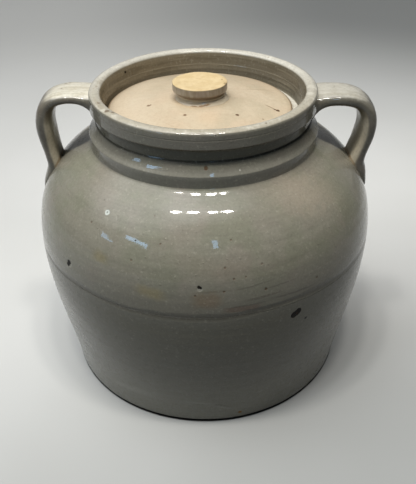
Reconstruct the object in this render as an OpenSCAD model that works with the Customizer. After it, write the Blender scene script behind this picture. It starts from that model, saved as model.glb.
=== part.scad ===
// Stoneware bean pot: a jar made of two halves luted at the waist, a ribbed neck with
// a ledge inside its mouth, two pulled strap handles and a loose inset lid with a knob.
// Millimetres, +Z up, origin at the centre of the flat foot, handles along X.

/* [Jar] */
// Radius of the flat foot
foot_r = 111.6; // [106:0.2:116]
// Radius at the seam, the widest part of the jar
belly_r = 127; // [123:0.2:134]
// Height of the seam between the two halves
seam_z = 118; // [108:1:130]
// Height from the seam up to the foot of the collar
shoulder_h = 69.2; // [66:0.2:78]
// Thickness of the thrown wall
wall_t = 9; // [7:0.5:11]
// Thickness of the floor
floor_t = 11; // [8:0.5:15]
// Radius of the hollow between floor and wall
floor_round = 22; // [10:1:30]
// Radius of the foot's outer edge
foot_round = 2.5; // [1:0.1:4]
// Depth and width of the groove left along the seam
seam_cut = 0.7; // [0.3:0.1:1.2]

/* [Jar curves] */
// Outward lean of the wall at the foot, degrees
foot_lean = 5.9; // [3:0.1:8]
// How far the lean of the foot carries up the wall
foot_pull = 38.2; // [30:0.2:46]
// Inward lean of the wall at the seam, degrees
belly_lean = 1.3; // [0:0.1:3]
// How far the upright belly carries below the seam
belly_pull_down = 38; // [30:0.5:46]
// How far the upright belly carries above the seam
belly_pull_up = 28; // [24:0.5:34]
// Slope of the shoulder where it meets the neck, degrees
shoulder_pitch = 27.7; // [22:0.1:32]
// How far that slope carries down the shoulder
shoulder_pull = 38.3; // [34:0.1:42]

/* [Neck] */
// Radius at the foot of the collar
collar_foot_r = 82.4; // [80:0.1:84]
// Radius at the collar's edge
collar_r = 82.9; // [81.5:0.1:85]
// Height of the collar's upright face
collar_h = 8.4; // [5:0.1:10]
// Radius of the hollow fillet between the collar's face and the shoulder
collar_fillet = 1.4; // [0.5:0.1:3]
// Height of the slope from the collar's edge up to the groove
collar_slope_h = 9.6; // [7:0.1:12]
// Radius at the bottom of the groove under the rim band
groove_r = 78.3; // [77.5:0.1:80]
// Height of the groove
groove_h = 7.4; // [6:0.1:9]
// Radius of the rim band
band_r = 81; // [80:0.1:82.5]
// Height of the rim band, up to the top of the lip
band_h = 12.7; // [11:0.1:15]
// Radius of the mouth at the lip
mouth_r = 72.4; // [71.5:0.1:73.5]
// How far the lip's inner and outer edges lie below its top
lip_drop = 1.6; // [0.8:0.1:2.4]

/* [Lid ledge] */
// Radius of the wall round the ledge
well_r = 70; // [69:0.1:71]
// Depth of the ledge below the lip
ledge_depth = 20.8; // [18:0.1:23]
// Width of the ledge that carries the lid
ledge_w = 8.5; // [7:0.1:10]
// Thickness of the ledge at its nose
ledge_t = 4.5; // [3.5:0.1:6]

/* [Lid] */
// Radial play between the lid and the wall round the ledge
lid_play = 3.1; // [1:0.1:4]
// Smallest gap left where the lid has slid to one side
lid_gap = 0.5; // [0.4:0.1:0.9]
// Direction in which the lid has slid, degrees from +X
lid_slid_to = 155; // [0:5:355]
// Height of the lid's domed edge
lid_edge_t = 3.7; // [3:0.1:5]
// Rise of the dome from that edge to its middle
lid_rise = 6.8; // [4:0.1:9]
// Thickness of the lid in its middle
lid_t = 7; // [5:0.1:8.5]
// Width of the flat seating ring under the lid
lid_seat_w = 9; // [7:0.1:12]

/* [Knob] */
// Radius of the knob's disc
knob_r = 18.9; // [15:0.1:24]
// Height of the knob's disc
knob_disc_h = 7.2; // [5:0.1:8]
// Radius of the knob's neck
knob_neck_r = 14.4; // [12:0.1:15.5]
// Radius of the knob's foot on the lid
knob_foot_r = 18; // [16:0.1:20]
// Height of the knob
knob_h = 12.6; // [11:0.1:18]

/* [Handles] */
// Width of the strap
strap_w = 31; // [26:0.5:36]
// Thickness of the left strap over the finger hole
left_strap_t = 8.6; // [6:0.1:11]
// Thickness of the right strap over the finger hole
right_strap_t = 10.4; // [6:0.1:11]
// Thickness of the straps at their outermost part
strap_bow_t = 12.5; // [9:0.1:14]
// Depth of the hollow fillet under the strap at the rim
strap_root_drop = 13; // [8:0.5:15]
// Depth of the left strap's top below the lip
left_crown_drop = 1.2; // [1:0.1:6]
// Depth of the right strap's top below the lip
right_crown_drop = 3.8; // [1:0.1:7]
// How far the left strap's bow stays inside the belly's radius
left_bow_in = 6; // [1:0.2:12]
// How far the right strap's bow stays inside the belly's radius
right_bow_in = 1.4; // [1:0.2:12]
// Depth of the bow's outermost point below the strap's top
bow_drop = 27; // [22:0.5:32]
// Height of the left strap's foot above the seam
left_foot_h = 47; // [42:0.5:50]
// Height of the right strap's foot above the seam
right_foot_h = 46; // [42:0.5:50]
// How proud the left strap stands where it lands on the shoulder
left_foot_t = 5.8; // [3:0.1:9]
// How proud the right strap stands where it lands on the shoulder
right_foot_t = 8.6; // [3:0.1:9]
// How proud the left strap's smeared tail stands off the shoulder
left_tail_t = 0.8; // [0.5:0.1:4]
// How proud the right strap's smeared tail stands off the shoulder
right_tail_t = 2; // [0.5:0.1:4]
// Length of the smeared tail
tail_l = 18; // [12:0.5:24]
// Sideways lean of the tails towards the back
tail_shift = 3; // [0:0.5:5]

/* [Hidden] */
$fn = 144;
curve_steps = 22;
arc_steps = 5;

glaze_grey = [0.64, 0.63, 0.58];
glaze_warm = [0.68, 0.66, 0.60];
handle_grey = [0.70, 0.69, 0.64];
lid_cream = [0.86, 0.79, 0.69];
knob_grey = [0.62, 0.60, 0.56];

// Heights of the neck's edges, from the foot of the collar upwards
collar_foot_z = seam_z + shoulder_h;
collar_edge_z = collar_foot_z + collar_h;
groove_z = collar_edge_z + collar_slope_h;
band_z = groove_z + groove_h;
lip_z = band_z + band_h;
ledge_z = lip_z - ledge_depth;

// Places on the lid, which lies slid to one side of its play
lid_r = well_r - lid_play;
lid_shift = (lid_play - lid_gap) * [cos(lid_slid_to), sin(lid_slid_to)];
lid_seat_z = ledge_z;
lid_edge_z = lid_seat_z + lid_edge_t;
dome_r = (lid_r * lid_r + lid_rise * lid_rise) / (2 * lid_rise);
knob_seat_z = dome_z(knob_foot_r);
knob_top_z = knob_seat_z + knob_h;

// Height of the dome's surface at radius r
function dome_z(r) = lid_edge_z + lid_rise - dome_r + sqrt(dome_r * dome_r - r * r);

// Unit vector that leans outwards from upright by the angle a
function upright(a) = [sin(a), cos(a)];

// Unit vector along v
function unit(v) = v / norm(v);

// Points of the cubic curve through the control points p
function bezier(p, steps) = [
    for (i = [0:steps])
        let (t = i / steps, s = 1 - t)
        s * s * s * p[0] + 3 * s * s * t * p[1] + 3 * s * t * t * p[2] + t * t * t * p[3]
];

// The upward curve moved inwards by the distance d
function inset(curve, d) = [
    for (i = [0:len(curve) - 1])
        let (u = unit(curve[min(i + 1, len(curve) - 1)] - curve[max(i - 1, 0)]))
        curve[i] + d * [-u[1], u[0]]
];

// Arc of radius r that rounds the corner b between the points a and c
function rounded(a, b, c, r) =
    let (u = unit(a - b),
         w = unit(c - b),
         half = acos(u * w) / 2,
         radius = min(r, 0.45 * min(norm(a - b), norm(c - b)) * tan(half)),
         reach = radius / tan(half),
         centre = b + unit(u + w) * radius / sin(half),
         start = b + u * reach - centre,
         end = b + w * reach - centre,
         from = atan2(start[1], start[0]),
         sweep = atan2(start[0] * end[1] - start[1] * end[0], start * end))
    [for (i = [0:arc_steps])
        centre + radius * [cos(from + sweep * i / arc_steps), sin(from + sweep * i / arc_steps)]];

// Outline through corners [r, z, rounding], with its two end points kept sharp
function rounded_line(corners) = [
    for (i = [0:len(corners) - 1])
        let (b = [corners[i][0], corners[i][1]])
        if (i == 0 || i == len(corners) - 1 || corners[i][2] == 0) b
        else
            let (a = [corners[i - 1][0], corners[i - 1][1]],
                 c = [corners[i + 1][0], corners[i + 1][1]])
            each rounded(a, b, c, corners[i][2])
];

// The points in the other order
function reversed(points) = [for (i = [len(points) - 1:-1:0]) points[i]];

// Outside of the lower half, from the foot to the seam
lower_curve = bezier([
    [foot_r, 0],
    [foot_r, 0] + foot_pull * upright(foot_lean),
    [belly_r, seam_z] - belly_pull_down * upright(-belly_lean),
    [belly_r, seam_z]
], curve_steps);

// Outside of the upper half, from the seam to the foot of the collar
neck_start = [collar_foot_r + 2.2, collar_foot_z - 2.2 * tan(shoulder_pitch)];
upper_curve = bezier([
    [belly_r, seam_z],
    [belly_r, seam_z] + belly_pull_up * upright(-belly_lean),
    neck_start + shoulder_pull * [cos(shoulder_pitch), -sin(shoulder_pitch)],
    neck_start
], curve_steps);

lower_inset = inset(lower_curve, wall_t);
upper_inset = inset(upper_curve, wall_t);

// Outside of the neck, from the shoulder up over the rim band to the top of the lip
neck_outside = [
    [neck_start[0], neck_start[1], 0],
    [collar_foot_r, collar_foot_z, collar_fillet],
    [collar_r, collar_edge_z, 1.4],
    [groove_r, groove_z, 0.5],
    [groove_r - 0.2, band_z - 2, 1.2],
    [band_r, band_z, 1.2],
    [band_r - 0.4, lip_z - lip_drop, 2.6],
    [(band_r + mouth_r) / 2, lip_z, 5]
];

// Inside of the neck, from the lip down past the ledge to the inside of the shoulder
neck_inside = [
    [mouth_r, lip_z - lip_drop, 2],
    [well_r, ledge_z, 1.2],
    [well_r - ledge_w, ledge_z, 1.6],
    [well_r - ledge_w + 0.4, ledge_z - ledge_t, 2],
    [collar_foot_r - wall_t - 1, collar_foot_z - 1.5, 6],
    [upper_inset[curve_steps][0], upper_inset[curve_steps][1], 0]
];
neck_line = rounded_line(concat(neck_outside, neck_inside));

// Outside radius of the jar at the height z, below the neck
function jar_r(z) = lookup(z, [for (p = concat(lower_curve, upper_curve)) [p[1], p[0]]]);

// Whole jar as a filled shape, which the handles are cut to
module jar_envelope() {
    rotate_extrude()
        polygon(concat([[0, seam_z]],
                       [for (i = [0:curve_steps - 1]) upper_curve[i]],
                       rounded_line(neck_outside),
                       [[0, lip_z]]));
}

// Floor, foot and lower wall, up to the seam
module lower_body() {
    foot_line = rounded([0, 0], [foot_r, 0], lower_curve[3], foot_round);
    floor_corner = [lookup(floor_t, [for (p = lower_inset) [p[1], p[0]]]), floor_t];
    hollow_end = floor_t + 2 * floor_round;
    wall_in = [for (p = lower_inset) if (p[1] > hollow_end && p[1] < seam_z - 0.5) p];
    hollow = rounded([0, floor_t], floor_corner, wall_in[0], floor_round);
    color(glaze_grey)
        rotate_extrude()
        polygon(concat([[0, 0]],
                       foot_line,
                       [for (p = lower_curve) if (p[1] > 1.6 * foot_round && p[1] < seam_z - 2 * seam_cut) p],
                       [[belly_r, seam_z - seam_cut],
                        [belly_r - seam_cut, seam_z],
                        [belly_r - wall_t, seam_z]],
                       reversed(wall_in),
                       reversed(hollow),
                       [[0, floor_t]]));
}

// Shoulder and neck above the seam, with the ledge that carries the lid
module upper_body() {
    wall_out = [for (p = upper_curve) if (p[1] > seam_z + 2 * seam_cut && p[1] < neck_start[1] - 0.01) p];
    wall_in = [for (p = upper_inset) if (p[1] > seam_z + 0.5 && p[0] > upper_inset[curve_steps][0] + 0.01) p];
    color(glaze_warm)
        rotate_extrude()
        polygon(concat([[belly_r - wall_t, seam_z],
                        [belly_r - seam_cut, seam_z],
                        [belly_r, seam_z + seam_cut]],
                       wall_out,
                       neck_line,
                       reversed(wall_in)));
}

// Ring of the strap's rounded section between its outer and inner points
ring_points = 20;
section_power = 0.75;
function signed_power(x, n) = sign(x) * pow(abs(x), n);
function strap_ring(outer, inner, width, shift) = [
    for (k = [0:ring_points - 1])
        let (a = 360 * k / ring_points,
             across = signed_power(cos(a), section_power) * width / 2,
             through = signed_power(sin(a), section_power),
             p = (outer + inner) / 2 + (outer - inner) / 2 * through)
        [p[0], across + shift, p[1]]
];

// Curve from a to b that leaves a along da and arrives at b along db
function flow(a, da, b, db, steps) = bezier([a, a + da, b - db, b], steps);

// The curves joined end to end, each without its first point
function joined(curves) = concat([curves[0][0]], [for (c = curves) each [for (i = [1:len(c) - 1]) c[i]]]);

// Strap that leaves the rim band towards +X, bows out and lands on the shoulder
module strap(crown_z, over_t, bow_in, foot_z, foot_t, tail_t) {
    bow_x = belly_r - bow_in;
    bow_z = crown_z - bow_drop;
    root_x = band_r - 5;
    over_x = band_r + 14;
    under_z = crown_z - over_t;
    foot_x = jar_r(foot_z) + foot_t;
    tail_z = foot_z - tail_l;
    tail_x = jar_r(tail_z) + tail_t;
    end_z = tail_z - 6;
    root_steps = 6;
    bow_steps = 13;
    leg_steps = 9;
    tail_steps = 6;
    end_steps = 3;
    outer = joined([
        flow([root_x, crown_z - 0.5], [7, 0], [over_x, crown_z], [7, 0], root_steps),
        flow([over_x, crown_z], [0.6 * (bow_x - over_x), 0], [bow_x, bow_z], [0, -18], bow_steps),
        flow([bow_x, bow_z], [0, -15], [foot_x, foot_z], [1.5, -9], leg_steps),
        flow([foot_x, foot_z], [1.7, -6], [tail_x, tail_z], [1, -8], tail_steps),
        flow([tail_x, tail_z], [0.3, -2], [jar_r(end_z) - 2, end_z], [-0.6, -2], end_steps)
    ]);
    inner_x = bow_x - strap_bow_t;
    inner = joined([
        flow([root_x, under_z - strap_root_drop], [3.5, 10], [over_x - 1, under_z], [8, 0], root_steps),
        flow([over_x - 1, under_z], [0.62 * (inner_x - over_x), 0], [inner_x, bow_z], [0, -14], bow_steps),
        flow([inner_x, bow_z], [0.2, -10], [jar_r(foot_z + 4) - 2.5, foot_z + 1], [-3, -9], leg_steps),
        flow([jar_r(foot_z + 4) - 2.5, foot_z + 1], [1, -6], [jar_r(tail_z) - 4, tail_z], [1, -6], tail_steps),
        flow([jar_r(tail_z) - 4, tail_z], [0.3, -2], [jar_r(end_z) - 4, end_z], [0.3, -2], end_steps)
    ]);
    last = len(outer) - 1;
    leg_end = root_steps + bow_steps + leg_steps;
    width = [
        for (i = [0:last])
            i <= root_steps ? strap_w + 3 * pow(1 - i / root_steps, 2)
            : i <= leg_end ? strap_w - 3 * (i - root_steps) / (leg_end - root_steps)
            : (strap_w - 3) * sqrt(1 - 0.9 * pow((i - leg_end) / (last - leg_end), 2))
    ];
    shift = [
        for (i = [0:last])
            i <= root_steps + bow_steps ? 0 : tail_shift * min(1, (i - root_steps - bow_steps) / leg_steps)
    ];
    rings = [for (i = [0:last]) each strap_ring(outer[i], inner[i], width[i], shift[i])];
    sides = [
        for (i = [0:last - 1], k = [0:ring_points - 1])
            let (a = i * ring_points + k,
                 b = i * ring_points + (k + 1) % ring_points,
                 c = b + ring_points,
                 d = a + ring_points)
            each [[a, b, c], [a, c, d]]
    ];
    root_cap = [[for (k = [ring_points - 1:-1:0]) k]];
    tail_cap = [[for (k = [0:ring_points - 1]) last * ring_points + k]];
    polyhedron(points = rings, faces = concat(root_cap, sides, tail_cap), convexity = 6);
}

// Strap handle on the left of the rim, with its ends cut to the jar
module left_handle() {
    color(handle_grey)
        difference() {
            mirror([1, 0, 0])
                strap(lip_z - left_crown_drop, left_strap_t, left_bow_in,
                      seam_z + left_foot_h, left_foot_t, left_tail_t);
            jar_envelope();
        }
}

// Strap handle on the right of the rim, a little lower and wider in its bow
module right_handle() {
    color(handle_grey)
        difference() {
            strap(lip_z - right_crown_drop, right_strap_t, right_bow_in,
                  seam_z + right_foot_h, right_foot_t, right_tail_t);
            jar_envelope();
        }
}

// Domed lid, dished underneath, that rests on the ledge by a flat ring
module lid_disc() {
    dish_z = lid_edge_z + lid_rise - lid_t;
    dish_r = lid_r - 2.5 - lid_seat_w;
    dome = [for (i = [0:12]) let (r = knob_foot_r + (lid_r - 1.2 - knob_foot_r) * i / 12) [r, dome_z(r)]];
    rim_line = rounded_line([
        dome[11],
        [lid_r - 0.6, dome_z(lid_r) + 0.1, 1.4],
        [lid_r, lid_seat_z + 1.4, 0.8],
        [lid_r - 1.6, lid_seat_z, 1],
        [dish_r, lid_seat_z, 0.8],
        [dish_r - 8, lid_seat_z + 0.75 * (dish_z - lid_seat_z), 8],
        [0, dish_z, 0]
    ]);
    color(lid_cream)
        translate([lid_shift[0], lid_shift[1], 0])
        rotate_extrude()
        polygon(concat([[0, knob_seat_z]],
                       [for (i = [0:10]) dome[i]],
                       rim_line));
}

// Disc-shaped knob on a waisted neck, luted to the middle of the lid
module lid_knob() {
    disc_z = knob_top_z - knob_disc_h;
    color(knob_grey)
        translate([lid_shift[0], lid_shift[1], 0])
        rotate_extrude()
        polygon(concat([[0, knob_seat_z]],
                       rounded_line([
                           [knob_foot_r, knob_seat_z, 0],
                           [knob_foot_r - 0.2, knob_seat_z + 0.5, 0.3],
                           [knob_neck_r + 0.6, knob_seat_z + 1.9, 2.5],
                           [knob_neck_r, disc_z - 0.4, 1.2],
                           [knob_r - 0.5, disc_z + 0.3, 1.4],
                           [knob_r, knob_top_z - 0.5, 0.8],
                           [knob_r - 2, knob_top_z, 0]
                       ]),
                       [[0, knob_top_z]]));
}

lower_body();
upper_body();
left_handle();
right_handle();
lid_disc();
lid_knob();
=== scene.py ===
"""Stoneware bean pot, dressed over its CAD frame.

Metres, +Z up, the viewer of the photo at -Y, the handles along X. Lengths in the shapes are written in
millimetres, as on the potter's drawing, and turned into metres where a mesh is made.
"""

import math

import bpy
from mathutils import Matrix, Vector


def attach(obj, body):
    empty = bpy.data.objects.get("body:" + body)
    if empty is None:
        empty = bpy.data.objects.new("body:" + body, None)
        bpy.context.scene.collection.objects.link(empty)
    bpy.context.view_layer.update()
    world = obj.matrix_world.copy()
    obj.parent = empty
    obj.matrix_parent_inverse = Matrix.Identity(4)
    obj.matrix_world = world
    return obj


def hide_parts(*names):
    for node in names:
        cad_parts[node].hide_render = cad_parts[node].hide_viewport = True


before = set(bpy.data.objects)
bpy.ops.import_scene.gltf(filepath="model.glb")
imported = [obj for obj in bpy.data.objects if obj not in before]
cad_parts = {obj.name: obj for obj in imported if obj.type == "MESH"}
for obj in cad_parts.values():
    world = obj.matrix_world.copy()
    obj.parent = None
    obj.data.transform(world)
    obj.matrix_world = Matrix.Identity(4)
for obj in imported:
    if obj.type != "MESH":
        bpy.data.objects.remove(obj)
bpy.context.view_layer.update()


MM = 0.001

# ---------------------------------------------------------------------------------------------------------
# Sizes of the pot, in mm, the same as in the part's source
# ---------------------------------------------------------------------------------------------------------
FOOT_R, BELLY_R, SEAM_Z, WALL_T, FLOOR_T = 111.6, 127.0, 118.0, 9.0, 11.0
COLLAR_FOOT_R, COLLAR_R, GROOVE_R, BAND_R, MOUTH_R, WELL_R = 82.4, 82.9, 78.3, 81.0, 72.4, 70.0
COLLAR_FOOT_Z, COLLAR_EDGE_Z, GROOVE_Z, BAND_Z, LIP_Z, LEDGE_Z = 187.2, 195.6, 205.2, 212.6, 225.3, 204.5
LIP_DROP, LEDGE_W = 1.6, 8.5
LID_R, LID_SHIFT, LID_EDGE_Z, LID_RISE, LID_T = 66.9, (-2.356, 1.099), 208.2, 6.8, 7.0
KNOB_R, KNOB_DISC_H, KNOB_NECK_R, KNOB_FOOT_R, KNOB_H = 18.9, 7.2, 14.4, 18.0, 12.6
STRAP_W, STRAP_BOW_T, BOW_DROP, ROOT_DROP, TAIL_L, TAIL_SHIFT = 31.0, 12.5, 27.0, 13.0, 18.0, 3.0

# The jar's profile: leans and slope in degrees, and how far each end pulls its curve
FOOT_LEAN, BELLY_LEAN, NECK_SLOPE, NECK_OUT = 5.9, -1.3, math.radians(27.7), 2.2
FOOT_PULL, BELLY_PULL_DOWN, BELLY_PULL_UP, NECK_PULL = 38.2, 38.0, 28.0, 38.3

# The knob is a little oval, and its foot stands a little to the right
KNOB_OVAL, KNOB_SHIFT = (1.035, 0.965, 1), 1.6

# Faces round each turned piece, and how close two points are to be one
LOWER_STEPS, UPPER_STEPS, LID_STEPS, KNOB_STEPS = 300, 264, 240, 160
SAME_POINT = 0.002

DOME_R = (LID_R ** 2 + LID_RISE ** 2) / (2 * LID_RISE)


def dome_z(r):
    """Height of the lid's dome at radius r"""
    return LID_EDGE_Z + LID_RISE - DOME_R + math.sqrt(DOME_R ** 2 - r * r)


KNOB_SEAT_Z = dome_z(KNOB_FOOT_R)
KNOB_TOP_Z = KNOB_SEAT_Z + KNOB_H

# ---------------------------------------------------------------------------------------------------------
# Lines that the potter's profile is drawn with
# ---------------------------------------------------------------------------------------------------------


def upright(degrees):
    """Unit vector that leans outwards from upright"""
    return Vector((math.sin(math.radians(degrees)), math.cos(math.radians(degrees))))


def curve(p, steps):
    """Points of the cubic curve through four control points"""
    p = [Vector(q) for q in p]
    points = []
    for i in range(steps + 1):
        t = i / steps
        s = 1 - t
        points.append(s ** 3 * p[0] + 3 * s * s * t * p[1] + 3 * s * t * t * p[2] + t ** 3 * p[3])
    return points


def flow(a, da, b, db, steps):
    """Curve from a to b that leaves along da and arrives along db"""
    a, da, b, db = (Vector(v) for v in (a, da, b, db))
    return curve([a, a + da, b - db, b], steps)


def joined(curves):
    """Curves laid end to end, without the points they share"""
    points = [curves[0][0]]
    for c in curves:
        points.extend(c[1:])
    return points


def inset(points, d):
    """The upward curve moved inwards by d"""
    moved = []
    for i, p in enumerate(points):
        u = (points[min(i + 1, len(points) - 1)] - points[max(i - 1, 0)]).normalized()
        moved.append(p + d * Vector((-u.y, u.x)))
    return moved


def rounded(a, b, c, r, steps=6):
    """Arc of radius r that rounds the corner b between a and c"""
    a, b, c = Vector(a), Vector(b), Vector(c)
    u, w = (a - b).normalized(), (c - b).normalized()
    half = math.acos(max(-1.0, min(1.0, u.dot(w)))) / 2
    r = min(r, 0.45 * min((a - b).length, (c - b).length) * math.tan(half))
    reach = r / math.tan(half)
    centre = b + (u + w).normalized() * r / math.sin(half)
    start, end = b + u * reach - centre, b + w * reach - centre
    begin = math.atan2(start.y, start.x)
    sweep = math.atan2(start.x * end.y - start.y * end.x, start.dot(end))
    return [centre + r * Vector((math.cos(begin + sweep * i / steps), math.sin(begin + sweep * i / steps)))
            for i in range(steps + 1)]


def rounded_line(corners):
    """Line through corners (r, z, rounding), with its two end points kept sharp"""
    points = []
    for i, (x, z, r) in enumerate(corners):
        if i in (0, len(corners) - 1) or r == 0:
            points.append(Vector((x, z)))
        else:
            points.extend(rounded(corners[i - 1][:2], (x, z), corners[i + 1][:2], r))
    return points


def evenly(points, step):
    """The line with extra points, so that none are further apart than step"""
    filled = [points[0]]
    for a, b in zip(points, points[1:]):
        n = max(1, math.ceil((b - a).length / step))
        filled.extend(a.lerp(b, k / n) for k in range(1, n + 1))
    return filled


def thrown(points, low, high, depth, phase):
    """Faint ridges that the fingers leave, between the heights low and high"""
    ridged = []
    for p in points:
        fade = max(0.0, min(1.0, (p.y - low) / 6, (high - p.y) / 6))
        wave = math.sin(p.y * 0.83 + phase) + 0.7 * math.sin(p.y * 0.47 + 2.1 * phase) + 0.4 * math.sin(p.y * 1.71)
        ridged.append(Vector((p.x + depth * fade * wave, p.y)))
    return ridged


# ---------------------------------------------------------------------------------------------------------
# Making a mesh
# ---------------------------------------------------------------------------------------------------------


def start_afresh():
    """Nothing selected, as before each new piece"""
    if bpy.context.object and bpy.context.object.mode != "OBJECT":
        bpy.ops.object.mode_set(mode="OBJECT")
    bpy.ops.object.select_all(action="DESELECT")


def drawn(name, points):
    """Line of edges through the points, which stays open for editing with its last point selected"""
    start_afresh()
    bpy.ops.mesh.primitive_plane_add(size=1 * MM, location=(0, 0, 0))
    piece = bpy.context.object
    piece.name = piece.data.name = name
    bpy.ops.object.mode_set(mode="EDIT")
    bpy.ops.mesh.select_all(action="SELECT")
    bpy.ops.mesh.merge(type="CENTER")
    bpy.ops.transform.translate(value=points[0] * MM)
    for a, b in zip(points, points[1:]):
        bpy.ops.mesh.extrude_region_move(TRANSFORM_OT_translate={"value": (b - a) * MM})
    return piece


def turned(name, profile, steps, centre=(0.0, 0.0)):
    """Piece turned on the wheel from its profile of (radius, height) points"""
    across = Vector((centre[0], centre[1], 0))
    piece = drawn(name, [across + Vector((p.x, 0, p.y)) for p in profile])
    bpy.ops.mesh.select_all(action="SELECT")
    bpy.ops.mesh.spin(steps=steps, angle=2 * math.pi, center=across * MM, axis=(0, 0, 1))
    bpy.ops.mesh.select_all(action="SELECT")
    bpy.ops.mesh.remove_doubles(threshold=SAME_POINT * MM)
    bpy.ops.mesh.normals_make_consistent(inside=False)
    bpy.ops.object.mode_set(mode="OBJECT")
    return piece


def take(piece):
    """Only this piece selected and active"""
    start_afresh()
    piece.select_set(True)
    bpy.context.view_layer.objects.active = piece


def smooth(piece, degrees=40):
    """Smooth shading, with the edges sharper than the angle kept"""
    take(piece)
    bpy.ops.object.shade_smooth_by_angle(angle=math.radians(degrees))


def uneven(piece, size, amount):
    """Lets the hand show: the surface wanders by the amount over patches of the size, both in mm"""
    take(piece)
    wander = bpy.data.textures.new(piece.name + "_wander", "CLOUDS")
    wander.noise_scale = size * MM
    wander.noise_depth = 2
    push = piece.modifiers.new("wander", "DISPLACE")
    push.texture = wander
    push.texture_coords = "LOCAL"
    push.mid_level = 0.5
    push.strength = 2 * amount * MM
    bpy.ops.object.modifier_apply(modifier=push.name)


# ---------------------------------------------------------------------------------------------------------
# Jar
# ---------------------------------------------------------------------------------------------------------
CURVE_STEPS = 60
foot_end, belly = Vector((FOOT_R, 0)), Vector((BELLY_R, SEAM_Z))
neck_start = Vector((COLLAR_FOOT_R + NECK_OUT, COLLAR_FOOT_Z - NECK_OUT * math.tan(NECK_SLOPE)))
lower_curve = curve([
    foot_end,
    foot_end + FOOT_PULL * upright(FOOT_LEAN),
    belly - BELLY_PULL_DOWN * upright(BELLY_LEAN),
    belly], CURVE_STEPS)
upper_curve = curve([
    belly,
    belly + BELLY_PULL_UP * upright(BELLY_LEAN),
    neck_start + NECK_PULL * Vector((math.cos(NECK_SLOPE), -math.sin(NECK_SLOPE))),
    neck_start], CURVE_STEPS)
lower_inside = inset(lower_curve, WALL_T)
upper_inside = inset(upper_curve, WALL_T)


def jar_r(z):
    """Outside radius of the jar at the height z, below the neck"""
    line = lower_curve + upper_curve
    for a, b in zip(line, line[1:]):
        if a.y <= z <= b.y and b.y > a.y:
            return a.x + (b.x - a.x) * (z - a.y) / (b.y - a.y)
    return line[-1].x


def make_lower_half():
    """Floor, foot and wall up to the seam"""
    hollow_end, foot_end_z = FLOOR_T + 44, 6
    recess_r, recess_z, ring_in_r, ring_out_r, edge = 94, 0.4, 96, 102, (104, 0.5)
    wall_in = [p for p in lower_inside if hollow_end < p.y < SEAM_Z - 1]
    floor_r = next(p.x for p in lower_inside if p.y >= FLOOR_T)
    outside = [p for p in lower_curve if foot_end_z < p.y < SEAM_Z - 0.6]
    profile = [Vector(p) for p in ((0, recess_z), (recess_r, recess_z), (ring_in_r, 0), (ring_out_r, 0), edge)]
    profile += rounded(edge, (FOOT_R + 0.2, 2.3), (FOOT_R + 0.3, foot_end_z), 0.9)
    profile += thrown(evenly(outside, 1.6), 8, 112, 0.025, 0.4)
    profile += [Vector((BELLY_R, SEAM_Z - 0.2)), Vector((BELLY_R - 0.3, SEAM_Z)), Vector((BELLY_R - WALL_T, SEAM_Z))]
    profile += thrown(evenly(wall_in[::-1], 2.5), 40, 112, 0.15, 1.3)
    profile += rounded(wall_in[0], (floor_r, FLOOR_T), (0, FLOOR_T), 22, 10)
    profile += [Vector((60, FLOOR_T)), Vector((30, FLOOR_T)), Vector((0, FLOOR_T))]
    piece = turned("jar_lower_half", profile, LOWER_STEPS)
    uneven(piece, 60, 0.25)
    smooth(piece)
    return piece


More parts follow.
